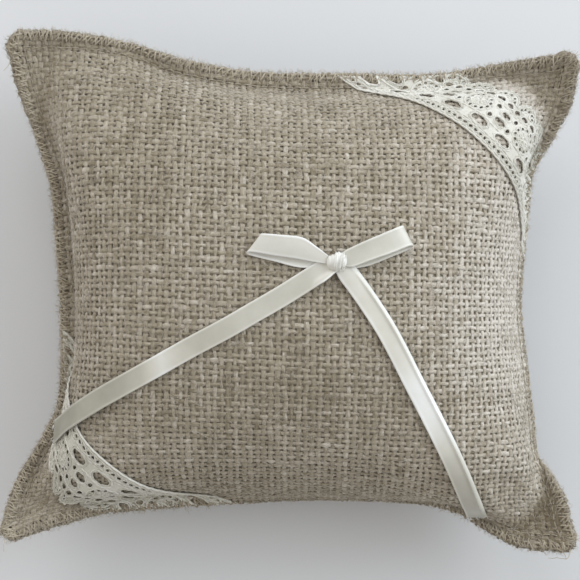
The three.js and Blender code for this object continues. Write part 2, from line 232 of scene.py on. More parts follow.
def settle(steps):
    """Two hessian sheets, sewn round, blown up by their filling and laid on the floor."""
    a, b = np.meshgrid(A_LINES, B_LINES)
    u, v = a / WIDE, b / HIGH
    margin = np.ones((NY, NX), bool)
    margin[3:-3, 3:-3] = False
    bu = np.minimum(np.abs(2 * u - 1) / (1 - 2 * MARGIN / WIDE), 1)
    bv = np.minimum(np.abs(2 * v - 1) / (1 - 2 * MARGIN / HIGH), 1)
    swell = ((1 - bu**2.8) * (1 - bv**2.8)) ** 0.75
    above, below = START_HEIGHT + START_UP * swell, np.maximum(START_HEIGHT - START_DOWN * swell, 1)
    x = np.stack([np.dstack([plan(u, v), height]) for height in (above, below)])
    old = x.copy()
    hang_low = (v < 0.06) * smooth(u, 0.30, 0.45) * (1 - smooth(u, 0.70, 0.82))
    hang_right = (u > 0.94) * smooth(v, 0.13, 0.20) * (1 - smooth(v, 0.64, 0.76))
    sink = HANGING_WEIGHT * np.maximum(hang_low, hang_right)[margin][None]
    target = margin_targets(u, v, np.maximum(0.75 * hang_low, 0.58 * hang_right))
    pressure = PRESSURE * (1 + LOWER_PRESSURE * (0.5 - v))[None, ..., None]
    bonds = [*straight_bonds(1, 1.0, 0.9), *slant_bonds(0.15), *straight_bonds(2, 0.0, 0.25)]
    rings = [ring(0), ring(1), ring(2)]
    in_u, in_v = np.minimum(u, 1 - u) * WIDE, np.minimum(v, 1 - v) * HIGH
    reach = np.hypot(in_u, in_v)
    curl = np.clip(1 - reach / EAR_REACH, 0, 1) * np.clip(1 - np.minimum(in_u, in_v) / 9, 0, 1)
    hold = np.maximum(np.clip(1 - reach / 26, 0, 1), curl)
    calm = smooth(-reach, -62, -24)[None, 1:-1, 1:-1, None]
    for _ in range(steps):
        du, dv = np.zeros_like(x), np.zeros_like(x)
        du[:, :, 1:-1] = x[:, :, 2:] - x[:, :, :-2]
        dv[:, 1:-1] = x[:, 2:] - x[:, :-2]
        push = np.cross(du, dv) * 0.25
        push[1] *= -1
        push[:, margin] = 0
        speed = (x - old) * DAMPING
        speed *= np.minimum(1, TOP_SPEED / (np.sqrt((speed * speed).sum(-1, keepdims=True)) + 1e-9))
        old = x.copy()
        x = x + speed + pressure * push
        x[..., 2] -= WEIGHT
        x[:, margin, 2] -= sink
        for _ in range(PULLS):
            for bond in bonds:
                pull(x, *bond)
            x[:, margin] = x[:, margin].mean(0)
            x[..., 2] += HEIGHT_GRIP * hold * (SEAM_HEIGHT + EAR_LIFT * curl - x[..., 2])
            x[..., 2] = np.maximum(x[..., 2], CLOTH_TOP)
            for r in rings:
                x[:, r, :2] += OUTLINE_GRIP * (target - x[0][..., :2])[r]
    for _ in range(SMOOTHINGS):
        near = (x[:, 2:, 1:-1] + x[:, :-2, 1:-1] + x[:, 1:-1, 2:] + x[:, 1:-1, :-2]) / 4
        x[:, 1:-1, 1:-1] += 0.6 * calm * (near - x[:, 1:-1, 1:-1])
        x[:, margin] = x[:, margin].mean(0)
    for r, grip in zip(rings, (0.85, 0.6, 0.3)):
        x[:, r, :2] += grip * (target - x[0][..., :2])[r]
    return x


def corner_inset(along, span):
    """How much a rounded corner takes off, at a place along an edge."""
    near = np.clip(CORNER - np.minimum(along, span - along), 0, CORNER)
    return CORNER - np.sqrt(CORNER**2 - near**2)


class Cloth:
    """One panel: a map from a place on the flat cut, in millimetres, to its place on the cushion."""

    def __init__(self, grid, outward):
        self.grid = grid
        da = np.gradient(grid, A_LINES, axis=1)
        db = np.gradient(grid, B_LINES, axis=0)
        self.fields = [grid] + [unit(w) for w in (np.cross(da, db) * outward, da, db)]

    def at(self, a, b):
        """Point, outward normal and the two thread directions, past the edge in a straight line."""
        a, b = np.broadcast_arrays(np.asarray(a, float), np.asarray(b, float))
        ca, cb = np.clip(a, 0, WIDE), np.clip(b, 0, HIGH)
        i, j = np.interp(ca, A_LINES, np.arange(NX)), np.interp(cb, B_LINES, np.arange(NY))
        i0, j0 = np.minimum(i.astype(int), NX - 2), np.minimum(j.astype(int), NY - 2)
        f, g = (i - i0)[..., None], (j - j0)[..., None]
        out = []
        for field in self.fields:
            low = field[j0, i0] * (1 - f) + field[j0, i0 + 1] * f
            high = field[j0 + 1, i0] * (1 - f) + field[j0 + 1, i0 + 1] * f
            out.append(low * (1 - g) + high * g)
        point, normal, ta, tb = out
        point = point + (a - ca)[..., None] * ta + (b - cb)[..., None] * tb
        return point, unit(normal), ta, tb

    def place(self, a, b, height):
        point, normal, _, _ = self.at(a, b)
        return point + normal * np.asarray(height)[..., None]


sheets = settle(400)
front, back = Cloth(sheets[0], 1), Cloth(sheets[1], -1)


def grid_quads(rows, columns):
    k = np.arange(rows * columns).reshape(rows, columns)
    return np.stack([k[:-1, :-1], k[:-1, 1:], k[1:, 1:], k[1:, :-1]], -1).reshape(-1, 4)


def tube_quads(tubes, rows, sides, turned=False):
    """The walls and ends of closed tubes, each of so many rings and sides; turned faces them about."""
    k = np.arange(tubes * rows * sides).reshape(tubes, rows, sides)
    turn = np.roll(k, -1, axis=2)
    quads = [np.stack([k[:, :-1], turn[:, :-1], turn[:, 1:], k[:, 1:]], -1).reshape(-1, 4)]
    for c in range(1, sides // 2):
        quads.append(k[:, 0, [c, c - 1, -c, -c - 1]])
        quads.append(k[:, -1, [c - 1, c, -c - 1, -c]])
    return np.vstack(quads)[:, [0, 3, 2, 1] if turned else [0, 1, 2, 3]]


tree = BVHTree.FromPolygons([Vector(p) for p in front.grid.reshape(-1, 3)], grid_quads(NY, NX).tolist())


def on_front(x, y):
    """Where a plumb line through (x, y) meets the front sheet, or the nearest height beside it."""
    hit = tree.ray_cast(Vector((x, y, 200)), Vector((0, 0, -1)))[0]
    if hit is None:
        hit = Vector((x, y, tree.find_nearest(Vector((x, y, START_HEIGHT)))[0].z))
    return np.array(hit)


# ---------------- mesh making
class Threads:
    """Collects tubes, strips and caps as quads, with a tone for each thread."""

    def __init__(self):
        self.points, self.quads, self.tones, self.count = [], [], [], 0

    def add(self, points, quads, tone):
        self.points.append(points.reshape(-1, 3))
        self.quads.append(quads + self.count)
        self.tones.append(np.broadcast_to(np.asarray(tone, float).ravel(), (len(self.points[-1]),)))
        self.count += len(self.points[-1])

    def tubes(self, centre, side, up, wide, thick, tone, sides=6, painted_crest_shading=0.0, rng=None):
        """Many tubes at once: centre is tubes x rings x 3, wide and thick are half sizes."""
        n, m = centre.shape[:2]
        angle = (np.arange(sides) + 0.5) * 2 * np.pi / sides
        uneven = 1 if rng is None else 1 + 0.09 * rng.normal(size=(n, m, sides, 1))
        wide, thick = (np.broadcast_to(w, (n, m))[:, :, None, None] * uneven for w in (wide, thick))
        p = centre[:, :, None] + side[:, :, None] * (np.cos(angle)[:, None] * wide)
        p = p + up[:, :, None] * (np.sin(angle)[:, None] * thick)
        # painted highlight on each tube's upper side and painted shade on its lower side
        tone = np.broadcast_to(tone, (n, m))[:, :, None] + painted_crest_shading * np.sin(angle)
        turned = (np.cross(side, up)[:, 1:] * np.diff(centre, axis=1)).sum() < 0
        self.add(p, tube_quads(n, m, sides, turned), tone)

    def line(self, path, radius, tone, sides=6, up=None):
        """One tube along a path, its radius a number or one for each point."""
        along = unit(np.gradient(path, axis=0))
        side = unit(np.cross(along, (0.13, 0.21, 1.0) if up is None else up))
        upright = np.cross(side, along)
        self.tubes(path[None], side[None], upright[None], radius, radius, tone, sides)

    def piece(self, name, material, body="pillow"):
        points = np.vstack(self.points) * MM
        quads = np.vstack(self.quads)
        mesh = bpy.data.meshes.new(name)
        mesh.vertices.add(len(points))
        mesh.vertices.foreach_set("co", points.astype(np.float32).ravel())
        mesh.loops.add(quads.size)
        mesh.loops.foreach_set("vertex_index", quads.astype(np.int32).ravel())
        mesh.polygons.add(len(quads))
        mesh.polygons.foreach_set("loop_start", np.arange(0, quads.size, 4, dtype=np.int32))
        mesh.polygons.foreach_set("use_smooth", np.ones(len(quads), bool))
        mesh.update(calc_edges=True)
        tone = mesh.attributes.new("tone", "FLOAT", "POINT")
        tone.data.foreach_set("value", np.concatenate(self.tones).astype(np.float32))
        mesh.materials.append(material)
        thing = bpy.data.objects.new(name, mesh)
        scene.collection.objects.link(thing)
        if body:
            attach(thing, body)
        return thing


def drift(rng, rows, count, knots):
    """Smooth random waves of about one unit, a row for each thread."""
    raw = rng.normal(size=(rows, knots + 1)) * 0.6
    at = np.linspace(0, knots - 1e-6, count)
    i = at.astype(int)
    f = smooth(at - i, 0, 1)
    return raw[:, i] * (1 - f) + raw[:, i + 1] * f


# ---------------- materials
def nodes_of(name, **sockets):
    """A new material, its node graph and its shader, with the shader's plain sockets set."""
    material = bpy.data.materials.new(name)
    material.use_nodes = True
    graph = material.node_tree
    shader = graph.nodes["Principled BSDF"]
    for key, value in sockets.items():
        shader.inputs[key.replace("_", " ")].default_value = value
    return material, graph, shader


def add_node(graph, kind, source=None, **values):
    """A new node with its settings and plain sockets, its first socket fed by source."""
    node = graph.nodes.new("ShaderNode" + kind)
    for key, value in values.items():
        if hasattr(node, key):
            setattr(node, key, value)
        else:
            node.inputs[key.replace("_", " ")].default_value = value
    if source:
        graph.links.new(source, node.inputs[0])
    return node


def plus_weighted(graph, total, source, weight):
    node = add_node(graph, "Math", source, operation="MULTIPLY_ADD")
    node.inputs[1].default_value = weight
    graph.links.new(total, node.inputs[2])
    return node.outputs[0]


def ramp(graph, source, stops):
    node = add_node(graph, "ValToRGB", source)
    elements = node.color_ramp.elements
    while len(elements) < len(stops):
        elements.new(0.5)
    for element, (at, colour) in zip(elements, stops):
        element.position = at
        element.color = (*colour, 1)
    return node.outputs[0]


def emboss(graph, shader, height, strength, distance):
    node = add_node(graph, "Bump", Strength=strength, Distance=distance)
    graph.links.new(height, node.inputs["Height"])
    graph.links.new(node.outputs[0], shader.inputs["Normal"])


def fibrous(name, stops, stretch, rough, sheen, bump=0.35, grain=0.9, blotch=0.6):
    """Spun yarn: fine streaks along the yarn, thread by thread tones, and slow blotches."""
    material, graph, shader = nodes_of(
        name, Roughness=rough, Specular_IOR_Level=0.2, Sheen_Weight=sheen, Sheen_Roughness=0.5
    )
    place = add_node(graph, "TexCoord").outputs["Object"]
    mapping = add_node(graph, "Mapping", place, Scale=stretch).outputs[0]
    streak = add_node(graph, "TexNoise", mapping, Scale=1.0, Detail=4.0, Roughness=0.7)
    patch = add_node(graph, "TexNoise", place, Scale=14.0, Detail=3.0, Roughness=0.55)
    tone = add_node(graph, "Attribute", attribute_name="tone")
    base = add_node(graph, "Math", tone.outputs["Fac"], operation="SUBTRACT")
    base.inputs[1].default_value = 0.5 * (grain + blotch)
    total = plus_weighted(graph, base.outputs[0], streak.outputs["Fac"], grain)
    total = plus_weighted(graph, total, patch.outputs["Fac"], blotch)
    graph.links.new(ramp(graph, total, stops), shader.inputs["Base Color"])
    emboss(graph, shader, streak.outputs["Fac"], bump, 0.0003)
    return material


JUTE = [(0.0, (0.20, 0.165, 0.112)), (0.45, (0.37, 0.324, 0.252)), (0.75, (0.50, 0.455, 0.388))]
JUTE += [(1.0, (0.66, 0.615, 0.562))]
jute_warp = fibrous("jute_warp", JUTE, (1900, 620, 1900), 0.9, 0.35, 1.0, grain=1.6)
jute_weft = fibrous("jute_weft", JUTE, (620, 1900, 1900), 0.9, 0.35, 1.0, grain=1.6)
OVERLOCK = [(0.0, (0.24, 0.20, 0.145)), (0.5, (0.42, 0.37, 0.29)), (1.0, (0.60, 0.55, 0.46))]
overlock_yarn = fibrous("overlock_yarn", OVERLOCK, (2500, 2500, 2500), 0.85, 0.3)
COTTON = [(0.0, (0.44, 0.42, 0.355)), (0.5, (0.76, 0.755, 0.715)), (1.0, (0.88, 0.88, 0.86))]
cotton = fibrous("cotton_lace", COTTON, (2600, 2600, 2600), 0.8, 0.3, 0.4)
FIBRE = [(0.0, (0.62, 0.56, 0.44)), (0.5, (0.78, 0.72, 0.60)), (1.0, (0.86, 0.81, 0.70))]
wadding = fibrous("wadding", FIBRE, (900, 900, 900), 0.95, 0.1, 0.6)


def satin(name):
    """White satin: smooth floats along the ribbon, a soft shine and paler firm selvedges."""
    material, graph, shader = nodes_of(
        name, Roughness=0.36, Specular_IOR_Level=0.9, Sheen_Weight=0.35, Sheen_Roughness=0.3
    )
    place = add_node(graph, "TexCoord").outputs["Object"]
    cloudy = add_node(graph, "TexNoise", place, Scale=190.0, Detail=5.0, Roughness=0.6)
    tone = add_node(graph, "Attribute", attribute_name="tone")
    total = plus_weighted(graph, tone.outputs["Fac"], cloudy.outputs["Fac"], 0.2)
    # the dark warm end and bright cool end carry the ribbon's painted shade and painted sheen
    stops = [(0.0, (0.26, 0.25, 0.20)), (0.6, (0.645, 0.635, 0.58)), (1.0, (0.86, 0.875, 0.88))]
    graph.links.new(ramp(graph, total, stops), shader.inputs["Base Color"])
    fine = add_node(graph, "TexNoise", place, Scale=5200.0, Detail=2.0, Roughness=0.5)
    emboss(graph, shader, fine.outputs["Fac"], 0.15, 0.0001)
    return material


satin_white = satin("satin_white")


# ---------------- woven panels
def painted_light_and_shade(a, b):
    """Painted light at the right and left; painted shade at the top and on the curled ears, most at
    right.
    """
    p, q = np.abs(2 * a / WIDE - 1), np.abs(2 * b / HIGH - 1)
    # painted shade on the curled ears, deeper at the right
    painted_ear_shade = np.where(a > WIDE / 2, 0.58 - 0.12 * b / HIGH, 0.14 - 0.07 * b / HIGH)
    # painted light: paler to the right, less so low down, and at the left edge
    painted_brightening = 0.58 * smooth(a / WIDE, 0.62, 0.90) * (0.16 + 0.84 * smooth(b / HIGH, 0.15, 0.50))
    painted_brightening = painted_brightening + 0.10 * (1 - smooth(a / WIDE, 0.0, 0.25))
    # painted shade: darker towards the top and on the ears
    return painted_brightening - 0.08 - 0.13 * smooth(b / HIGH, 0.6, 0.95) - painted_ear_shade * smooth(p**2 + q**2, 1.34, 1.47)


def weave(panel, cloth, seed, rings, sides, yarn_half, slip):
    """Warp and weft yarns of one panel, over and under each other, slipped by part of a pitch."""
    rng = np.random.default_rng(seed)
    warps, wefts = int(WIDE / WARP_PITCH), int(HIGH / WEFT_PITCH)
    warp = (warps, wefts, WARP_PITCH, WEFT_PITCH, WIDE, HIGH, yarn_half[0], 0.23)
    weft = (wefts, warps, WEFT_PITCH, WARP_PITCH, HIGH, WIDE, yarn_half[1], 0.29)
    made = []
    for count, other, pitch, other_pitch, width, span, half, lift in (warp, weft):
        is_warp = span == HIGH
        steps = other * rings + 1
        first = (span / other_pitch - other) / 2
        number = np.arange(count)[:, None]
        across = (number + 0.5 + (width / pitch - count) / 2 - slip) * pitch
        off = corner_inset(across, width)
        start = off + rng.uniform(-0.7, 0.4, (count, 1))
        end = span - off + rng.uniform(-0.4, 0.7, (count, 1))
        station = np.clip((np.arange(steps) / rings + first)[None] * other_pitch, start, end)
        station[:, :1] = start
        station[:, -1:] = end
        across = across + 0.22 * drift(rng, count, steps, 26) + 0.20 * drift(rng, count, steps, 90)
        phase = np.cos(np.pi * (station / other_pitch - 0.5 + slip - first + number))
        height = np.sign(phase) * np.abs(phase) ** 0.8 * lift * (1 if is_warp else -1)
        slub = np.maximum(drift(rng, count, steps, 34), 0) ** 2
        size = 1 + 0.14 * drift(rng, count, 1, 1) + 0.16 * drift(rng, count, steps, 90) + 0.20 * slub
        pale = rng.random((count, 1)) < 0.10
        size = np.clip(size * (1 - 0.16 * pale), 0.66, 1.45)
        fray = smooth(station, -0.5, 2.0) * smooth(span - station, -0.5, 2.0)
        a, b = (across, station) if is_warp else (station, across)
        fluff = 1 + 0.5 * np.maximum(-painted_light_and_shade(a, b) - 0.05, 0)
        wide = half * size * (0.55 + 0.45 * fray) * (1 + 0.10 * np.abs(phase)) * fluff
        wide = wide * (1 + 0.11 * rng.normal(size=wide.shape).clip(-2, 2))
        wide = wide * (1 + 0.10 * smooth(b / HIGH, 0.5, 0.8) + 0.12 * (1 - smooth(a / WIDE, 0.05, 0.3)))
        point, normal, ta, tb = cloth.at(a, b)
        centre = point + normal * (CLOTH_MID + height)[..., None]
        tone = 0.505 + 0.11 * drift(rng, count, 1, 1) + 0.14 * drift(rng, count, steps, 30) + 0.06 * slub
        tone = tone + 0.09 * rng.normal(size=tone.shape)
        # the last term adds painted light and painted shade across the panel
        tone = tone + (0.13 if is_warp else 0.05) * pale + painted_light_and_shade(a, b)
        thick = YARN_THICK * np.clip(size, 0.8, 1.2)
        threads = Threads()
        # 0.05 paints each yarn lighter on top and darker underneath: painted highlight and painted shade
        threads.tubes(centre, ta if is_warp else tb, normal, wide, thick, tone, sides, 0.05, rng)
        name, yarn = ("_warp", jute_warp) if is_warp else ("_weft", jute_weft)
        made.append(threads.piece(panel + name, yarn))
    return made


piece_front_warp, piece_front_weft = weave("front", front, 11, 2, 6, (0.78, 0.71), 0)
piece_back_warp, piece_back_weft = weave("back", back, 12, 1, 4, (0.88, 0.82), 0.45)
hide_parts("front_panel")
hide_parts("back_panel")


def make_filling():
    """The wadding inside, close under both panels."""
    rng = np.random.default_rng(5)
    inner = slice(2, -2)
    ny, nx = NY - 4, NX - 4
    a, b = np.meshgrid(A_LINES[inner], B_LINES[inner])
    p, q = 2 * a / WIDE - 1, 2 * b / HIGH - 1
    round_off = np.minimum(1, np.sqrt(1.22 / (p**2 + q**2)))
    clear = MARGIN + 0.6
    a = np.clip(WIDE / 2 * (1 + p * round_off), clear, WIDE - clear)
    b = np.clip(HIGH / 2 * (1 + q * round_off), clear, HIGH - clear)
    top, low = (cloth.place(a, b, 0.15 * rng.random((ny, nx))) for cloth in (front, back))
    edge = ring(2)[inner, inner]
    top[edge] = (top[edge] + low[edge]) / 2
    under = np.arange(ny * nx).reshape(ny, nx)
    under[~edge] = ny * nx + np.arange((~edge).sum())
    above = grid_quads(ny, nx)
    threads = Threads()
    points = np.vstack([top.reshape(-1, 3), low[~edge]])
    threads.add(points, np.vstack([above, under.ravel()[above[:, ::-1]]]), 0.4)
    return threads.piece("filling", wadding)


filling = make_filling()
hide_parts("fibre_filling")


# ---------------- sewing
def edge_place(side, along, inset, height):
    """A point near one raw edge, height out of the front."""
    inset = inset + corner_inset(np.clip(along, 0.2, SIDES[side] - 0.2), SIDES[side])
    a, b = {
        "top": (along, HIGH - inset), "bottom": (along, inset),
        "left": (inset, along), "right": (WIDE - inset, along),
    }[side]
    return front.place(a, b, height)


# one loop of thread from the front over the raw edge to the back, as inset and height
TURN = [(3.0, 1.1), (2.1, 1.6), (0.9, 1.65), (0.1, 1.2), (-0.15, 0.0)]
TURN += [(0.1, -1.2), (0.9, -1.65), (2.1, -1.6), (3.0, -1.1), (3.3, 0.0)]
LOOP_PITCH = 1.55


def make_overlock(side, seed, painted_brightening):
    """Thread wrapped round the raw edge, loop after loop, a little unevenly."""
    rng = np.random.default_rng(seed)
    span = SIDES[side]
    loops = int(span / LOOP_PITCH)
    threads = Threads()
    for strand, slant in enumerate((0.55, -0.25)):
        places = []
        for k in range(loops):
            reach, sway = rng.uniform(0.75, 1.15), rng.normal() * 0.65
            for n, (inset, height) in enumerate(TURN):
                lean = slant * (1.6 - abs(inset)) * (1 if n < 5 else -1)
                station = (k + 0.5 * strand + n / len(TURN)) * span / loops + sway + lean
                uneven = inset * reach + 0.2 * rng.normal(), height + 0.12 * rng.normal()
                places.append((station, *uneven))
        stations, insets, heights = np.array(places).T
        path = rounded(edge_place(side, np.clip(stations, 0, span), insets, heights), 2)
        # the side's extra tone is painted light, lifting sides that fall in shade
        tone = 0.36 + painted_brightening + 0.24 * drift(rng, 1, len(path), loops)[0]
        radius = 0.21 * (1 + 0.25 * drift(rng, 1, len(path), loops * 2)[0])
        threads.line(path, radius, tone, sides=5)
    piece = threads.piece("overlock_loops_" + side, overlock_yarn)
    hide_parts("overlock_" + side)


# painted light on the top overlock and, most, on the left one
for seed, (side, painted_brightening) in enumerate(zip(SIDES, (0.12, 0.0, 0.0, 0.26)), 40):
    make_overlock(side, seed, painted_brightening)


def make_seam(name, node, sign):
    """Lockstitches round the cushion, one panel's side."""
    threads = Threads()
    stitch, inset = 3.0, MARGIN - 0.7
    for side, span in SIDES.items():
        s = np.arange(inset, span - inset, stitch / 8)
        dip = np.abs(np.sin(np.pi * (s - inset) / stitch)) ** 0.5
        path = edge_place(side, s, inset + 0.15 * np.sin(s * 0.7), sign * (0.5 + 0.9 * dip))
        threads.line(path, 0.22, 0.45, sides=4)
    piece = threads.piece(name, overlock_yarn)
    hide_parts(node)


make_seam("seam_stitches_front", "seam_thread_front", 1)
make_seam("seam_stitches_back", "seam_thread_back", -1)


def make_fuzz():
    """Loose jute: short and long fibres all over the face, and the frayed yarns of the raw edge."""
    rng = np.random.default_rng(21)
    threads = Threads()
    t = np.linspace(0, 1, 5)
    taper = np.array([1, 1, 0.8, 0.6, 0.25])
    for kind, count in (("short", 11000), ("long", 800), ("edge", 5200)):
        each = (count, 1)
        a, b = rng.uniform(1, WIDE - 1, each), rng.uniform(1, HIGH - 1, each)
        heading = rng.uniform(0, 2 * np.pi, each)
        size = rng.uniform(1.0, 3.2, each) if kind == "short" else rng.uniform(4, 10, each)
        rise = CLOTH_TOP - 0.15 + rng.uniform(0.1, 0.6, each) * np.sin(np.pi * t)
        if kind == "edge":
            which = rng.integers(4, size=each)  # lower, upper, left, right
            heading = np.array([-np.pi / 2, np.pi / 2, np.pi, 0])[which] + 0.8 * rng.normal(size=each)
            size = rng.uniform(0.5, 2.0, each)
            rise = rng.uniform(-1.4, 1.9, each) + 0.7 * rng.normal(size=each) * t
            off_a, off_b = corner_inset(b, HIGH), corner_inset(a, WIDE)
            a = np.select([which == 2, which == 3], [off_a, WIDE - off_a], a)
            b = np.select([which == 0, which == 1], [off_b, HIGH - off_b], b)
        turn = heading + 1.2 * rng.normal(size=each) * t
        pa, pb = a + np.cumsum(np.cos(turn), 1) * size / 4, b + np.cumsum(np.sin(turn), 1) * size / 4
        if kind != "edge":
            pa, pb = np.clip(pa, 0, WIDE), np.clip(pb, 0, HIGH)
        point, normal, _, _ = front.at(pa, pb)
        path = point + normal * rise[..., None]
        side = unit(np.cross(np.gradient(path, axis=1), normal))
        radius = rng.uniform(0.045, 0.075, each) * taper
        tone = rng.uniform(0.45, 1.0, each)
        threads.tubes(path, side, normal, radius, radius, tone, 3)
    for side, span in SIDES.items():
        for inset, height in ((0.5, 0.75), (0.55, -0.75), (1.7, 0.95)):
            s = np.arange(0.4, span - 0.4, 0.7)
            wobble = 0.12 * rng.normal(size=(2, len(s)))
            path = edge_place(side, s, inset + wobble[0], height + wobble[1])
            radius = 0.5 * (1 + 0.2 * rng.normal(size=len(s)).clip(-1, 1))
            threads.line(path, radius, 0.36 + 0.12 * rng.normal(size=len(s)), 5)
    return threads.piece("jute_fuzz", jute_warp)


fuzz = make_fuzz()


def make_strays():
    """Loose thread ends that hang from the corners."""
    rng = np.random.default_rng(33)
    threads = Threads()
    starts = [(0.8, HIGH - 9, 3.6, 7), (2.6, HIGH - 2.6, 2.2, 3), (2.2, 2.2, 3.9, 6)]
    starts += [(WIDE - 1, 6, -0.8, 5), (WIDE - 2.4, HIGH - 2.4, 0.9, 3)]
    starts += [(WIDE - 2.2, 2.2, -1.7, 12), (WIDE - 6, 0.5, -1.3, 4)]
    t = np.linspace(0, 1, 22)
    for a, b, heading, size in starts:
        turn = heading + np.cumsum(rng.normal(size=22) * 0.22)
        step = size / 22
        base, normal, ta, tb = front.at(a, b)
        ahead, aside = np.cumsum([np.cos(turn), np.sin(turn)], axis=1)[..., None] * step
        path = base + normal * 0.8 + ahead * ta + aside * tb
        path[:, 2] -= 0.25 * size * t**2
        threads.line(path, 0.17 * (1 - 0.5 * t), rng.uniform(0.5, 0.9), sides=5)
    piece = threads.piece("stray_ends", overlock_yarn)


make_strays()


# ---------------- lace
LACE_REPEAT = 22.0
LACE_SPREAD = 1.2  # how far the lace is stretched across
LACE_STEP = 0.45


def repeats(span):
    """Where the pattern's rosettes are, along the lace."""
    return [(k + 0.03) * LACE_REPEAT for k in range(-1, int(span / LACE_REPEAT) + 2)]


def around(s, t, rs, rt, angle):
    """Places on an oval about (s, t)."""
    return np.stack([s + rs * np.cos(angle), t + rt * np.sin(angle)], -1)


def eyelets(span):
    """The lace's holes as (along, across, half length, half width)."""
    holes = []
    for at in repeats(span):
        holes += [(at + n * 5.5, 5.4, 3.2, 1.35) for n in (-1, 1)]
        holes += [(at + 11, 9.8, 2.7, 1.15), (at + 11, 13.2, 2.2, 1.0)]
        for off in (-6.2, 6.2):
            holes += [(at + off, 9.2, 0.8, 0.8), (at + off, 14.0, 1.0, 0.8)]
        for n in range(12):
            angle = 2 * np.pi * (n + 0.5) / 12
            holes.append((*around(at, 11.6, 3.8, 3.4, angle), 0.55, 0.5))
        holes += [(at + (n - 2) * 4.4, 17.2, 1.55, 0.8) for n in range(5)]
        for off in (-5.5, 5.5):
            for n in range(5):
                angle = np.pi * (n + 0.5) / 5
                holes.append((*around(at + off, 18.7, 3.4, 2.3, angle), 0.6, 0.5))
    holes += [(s, 1.95, 0.55, 0.45) for s in np.arange(-1.0, span + 1, 2.2)]
    return holes


def scallop(s):
    """How far the lace reaches across, at each place along it."""
    return 18.5 + 4.0 * np.abs(np.sin(2 * np.pi * s / LACE_REPEAT)) ** 0.55


def oval(s, t, rs, rt, turns=26):
    return around(s, t, rs, rt, np.linspace(0, 2 * np.pi, turns + 1))


def lace_lines(span):
    """The lace's raised threads on a straight strip: t runs from the inner edge to the scallops."""
    lines = []
    s = np.arange(-2.0, span + 2.0, 0.5)
    for t in (0.35, 0.95, 2.9, 3.5, 7.2, 15.5):
        lines.append((np.stack([s, t + 0 * s], 1), 0.36))
    for sign in (-1, 1):
        wave = 0.75 * np.sin(np.pi * (s + 1.0) / 2.2 - np.pi / 2)
        lines.append((np.stack([s, 1.95 + sign * wave], 1), 0.30))
    for hole_s, hole_t, rs, rt in eyelets(span):
        if hole_t < 2.5:
            continue
        if rs > 1.2:
            lines.append((oval(hole_s, hole_t, rs + 0.30, rt + 0.30), 0.36))
            lines.append((oval(hole_s, hole_t, rs + 0.85, rt + 0.75), 0.30))
        else:
            lines.append((oval(hole_s, hole_t, rs + 0.22, rt + 0.22, 12), 0.27))
    for at in repeats(span):
        for n in range(9):
            angle = 2 * np.pi * n / 9
            lines.append((oval(*around(at, 11.6, 1.7, 1.6, angle), 1.05, 1.0, 12), 0.34))
        lines.append((oval(at, 11.6, 4.75, 4.35, 36), 0.36))
        for off in (-5.5, 5.5):
            angle = np.linspace(0.05, np.pi - 0.05, 26)
            for rs, rt in ((1.2, 0.9), (2.2, 1.5), (4.5, 3.3), (5.2, 3.9)):
                lines.append((around(at + off, 18.5, rs, rt, angle), 0.33))
            for n in range(8):
                angle = np.pi * (n + 0.5) / 8
                lines.append((oval(*around(at + off, 18.5, 5.4, 4.2, angle), 0.5, 0.5, 8), 0.22))
    return lines


def lace_place(corner, cut, s, t, seed):
    """From the lace strip to the flat panel: the strip lies at about 45 degrees across one corner."""
    root = math.sqrt(0.5)
    far = s / (cut / root)
    if corner == "upper_right":
        end = 2 * far - 1
        t = t * LACE_SPREAD + 0.2 * np.sin(s * 0.21 + seed) + 2.5 * end - 3.4 * end**4
        s = s + 4.4 * end**5
        return WIDE - cut + s * root + t * root, HIGH - s * root + t * root
    t = t * (LACE_SPREAD + 0.14 - 0.58 * (1 - smooth(far, 0.27, 0.56))) + 0.2 * np.sin(s * 0.21 + seed)
    t = t + 3.4 * smooth(far, 0.1, 0.55) - 1.9 - 42.0 * np.maximum(far - 0.5, 0) ** 2.2
    s = s * (1 + 0.10 * smooth(far, 0.4, 1.0)) + 0.28 * t * (1 - smooth(far, 0.25, 0.65))
    return s * root - t * root, cut - s * root - t * root


def past_seam(corner, a, b):
    """How far a place on the lace lies past the seam, in the margin."""
    if corner == "upper_right":
        return np.maximum(a - (WIDE - MARGIN), b - (HIGH - MARGIN))
    return np.maximum(MARGIN - a, MARGIN - b)


def lace_height(corner, a, b):
    """The lace lies on the yarns, and sinks among them where the seam and the overlock hold it."""
    past = past_seam(corner, a, b)
    return CLOTH_TOP + 0.3 - 0.45 * smooth(past, -1.6, -0.2) - 0.15 * smooth(past, 0.2, 1.4)


